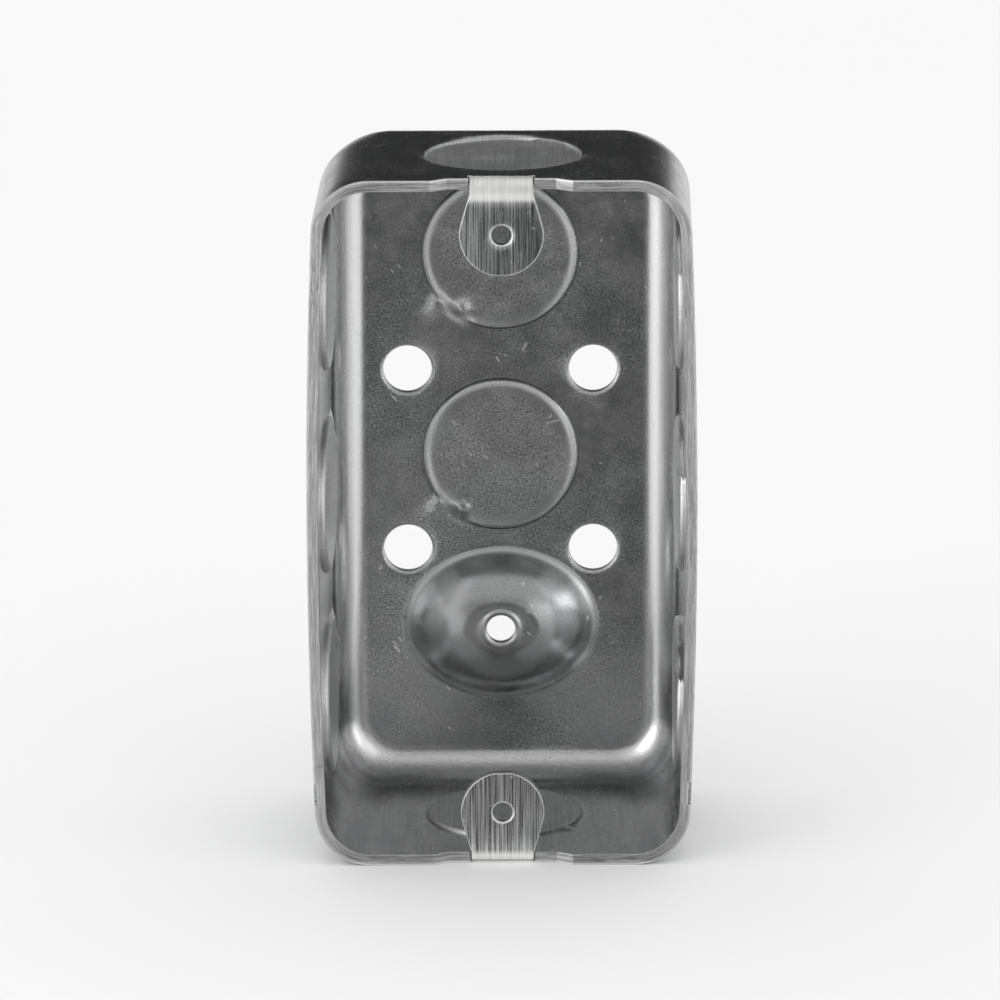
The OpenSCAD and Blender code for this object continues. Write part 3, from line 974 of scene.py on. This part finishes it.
def place_camera():
    """The photograph's camera, worked out from the sizes of the box and where they fall in the picture."""
    distance, focal_px, picture_px, sensor = 1307.0, 9383.0, 1000, 36.0
    tilt, yaw, roll = (math.radians(a) for a in (15.22, 0.31, 0.13))
    shift_x, shift_y = 0.29, -3.69
    turn = Matrix.Rotation(roll, 3, "Z") @ Matrix.Rotation(tilt, 3, "X") @ Matrix.Rotation(yaw, 3, "Y")
    axes = np.array(turn)
    place = axes.T @ np.array([-shift_x, -shift_y, distance])

    def to_row(v):
        return Vector((v[0], -v[2], v[1]))

    right, up, back = (to_row(axes[i]) for i in range(3))
    position = (to_row(place) - Vector((0, DEPTH, 0))) * MM
    data = bpy.data.cameras.new("camera")
    data.sensor_width = sensor
    data.lens = focal_px / picture_px * sensor
    data.clip_start, data.clip_end = 0.01, 20
    camera = bpy.data.objects.new("camera", data)
    bpy.context.scene.collection.objects.link(camera)
    camera.matrix_world = Matrix.Translation(position) @ Matrix((right, up, back)).transposed().to_4x4()
    bpy.context.scene.camera = camera


def add_area_light(name, place, target, size, power):
    data = bpy.data.lights.new(name, "AREA")
    data.shape = "RECTANGLE"
    data.size, data.size_y = size
    data.energy = power
    light = bpy.data.objects.new(name, data)
    bpy.context.scene.collection.objects.link(light)
    light.visible_camera = False
    light.location = place
    light.rotation_euler = (Vector(target) - Vector(place)).to_track_quat("-Z", "Y").to_euler()


def light_scene():
    world = bpy.data.worlds.new("studio")
    bpy.context.scene.world = world
    world.use_nodes = True
    world.node_tree.nodes["Background"].inputs["Color"].default_value = (1, 1, 1, 1)
    world.node_tree.nodes["Background"].inputs["Strength"].default_value = WORLD_LEVEL
    for name, place, size, power in SOFTBOXES:
        add_area_light(name, place, (0, -0.02, 0), size, power)
    for name, corners, grey in CARDS:
        add_card(name, corners, grey)


WORLD_LEVEL = 1.0
SOFTBOXES = (
    ("left", (-0.62, -0.6, 0.1), (0.4, 0.5), 1.6),
    ("right", (0.36, -0.75, 0.12), (0.34, 0.5), 0.32),
)


def corners_between(low, high):
    """A card's corners from two level edges, each given as left, right, depth and height."""
    (a, b, y, z), (c, d, y2, z2) = low, high
    return ((a, y, z), (b, y, z), (d, y2, z2), (c, y2, z2))


def corners_on_floor(a, b, y, c, d, y2):
    return corners_between((a, b, y, CARD_LEVEL), (c, d, y2, CARD_LEVEL))


CARD_LEVEL = -0.049
# Grey cards that only the metal sees: from the foot of the box towards the camera, above it, and behind it.
CARDS = (
    ("card_foot_left", corners_on_floor(-0.03, -0.0065, -0.0385, -0.032, -0.0065, -0.068), 0.5),
    ("card_foot_right", corners_on_floor(0.0065, 0.03, -0.0385, 0.0065, 0.033, -0.068), 0.42),
    ("card_foot_middle", corners_on_floor(-0.0065, 0.0065, -0.047, -0.0065, 0.0065, -0.068), 0.5),
    ("card_low_left", corners_on_floor(-0.028, -0.0065, -0.068, -0.03, -0.009, -0.14), 0.25),
    ("card_low_middle", corners_on_floor(-0.0065, 0.0065, -0.068, -0.009, 0.009, -0.14), 0.4),
    ("card_low_right", corners_on_floor(0.0065, 0.033, -0.068, 0.009, 0.044, -0.14), 0.13),
    ("card_far_left", corners_on_floor(-0.03, 0.0, -0.14, -0.08, 0.0, -0.3), 0.19),
    ("card_far_right", corners_on_floor(0.0, 0.044, -0.14, 0.0, 0.07, -0.3), 0.12),
    ("card_front_left", corners_between((-0.1, 0.0, -0.3, -0.049), (-0.1, 0.0, -0.32, 0.014)), 0.11),
    ("card_front_right", corners_between((0.0, 0.07, -0.3, -0.049), (0.0, 0.07, -0.32, 0.014)), 0.05),
    ("card_high", corners_between((-0.13, 0.17, -0.32, 0.014), (-0.13, 0.2, -0.36, 0.3)), 0.66),
    ("card_top", corners_between((-0.3, 0.3, -0.36, 0.3), (-0.3, 0.3, -0.14, 0.5)), 0.2),
    ("card_back", corners_between((-0.46, 0.32, 0.3, 0.055), (-0.4, 0.3, 0.16, 0.4)), 0.04),
)


def add_card(name, corners, grey):
    mesh = bpy.data.meshes.new(name)
    mesh.from_pydata(corners, [], [(0, 1, 2, 3)])
    card = bpy.data.objects.new(name, mesh)
    bpy.context.scene.collection.objects.link(card)
    material = bpy.data.materials.new(name)
    material.use_nodes = True
    shader = material.node_tree.nodes["Principled BSDF"]
    shader.inputs["Base Color"].default_value = (grey, grey, grey, 1)
    shader.inputs["Roughness"].default_value = 1.0
    shader.inputs["Specular IOR Level"].default_value = 0.0
    mesh.materials.append(material)
    card.visible_camera = card.visible_diffuse = card.visible_shadow = card.visible_transmission = False


def add_floor_plane():
    half = 3.0
    z = box_low[2] * MM
    mesh = bpy.data.meshes.new("ground")
    mesh.from_pydata([(-half, -half, z), (half, -half, z), (half, half, z), (-half, half, z)], [], [(0, 1, 2, 3)])
    ground = bpy.data.objects.new("ground", mesh)
    bpy.context.scene.collection.objects.link(ground)
    material = bpy.data.materials.new("ground_white")
    material.use_nodes = True
    shader = material.node_tree.nodes["Principled BSDF"]
    shader.inputs["Base Color"].default_value = (0.93, 0.93, 0.93, 1)
    shader.inputs["Roughness"].default_value = 1.0
    shader.inputs["Specular IOR Level"].default_value = 0.0
    mesh.materials.append(material)


place_camera()
box = build_box()
box.data.materials.append(steel_material())
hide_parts(NODE)
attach(box, "root")
add_floor_plane()
light_scene()
bpy.context.scene.view_settings.view_transform = "Standard"
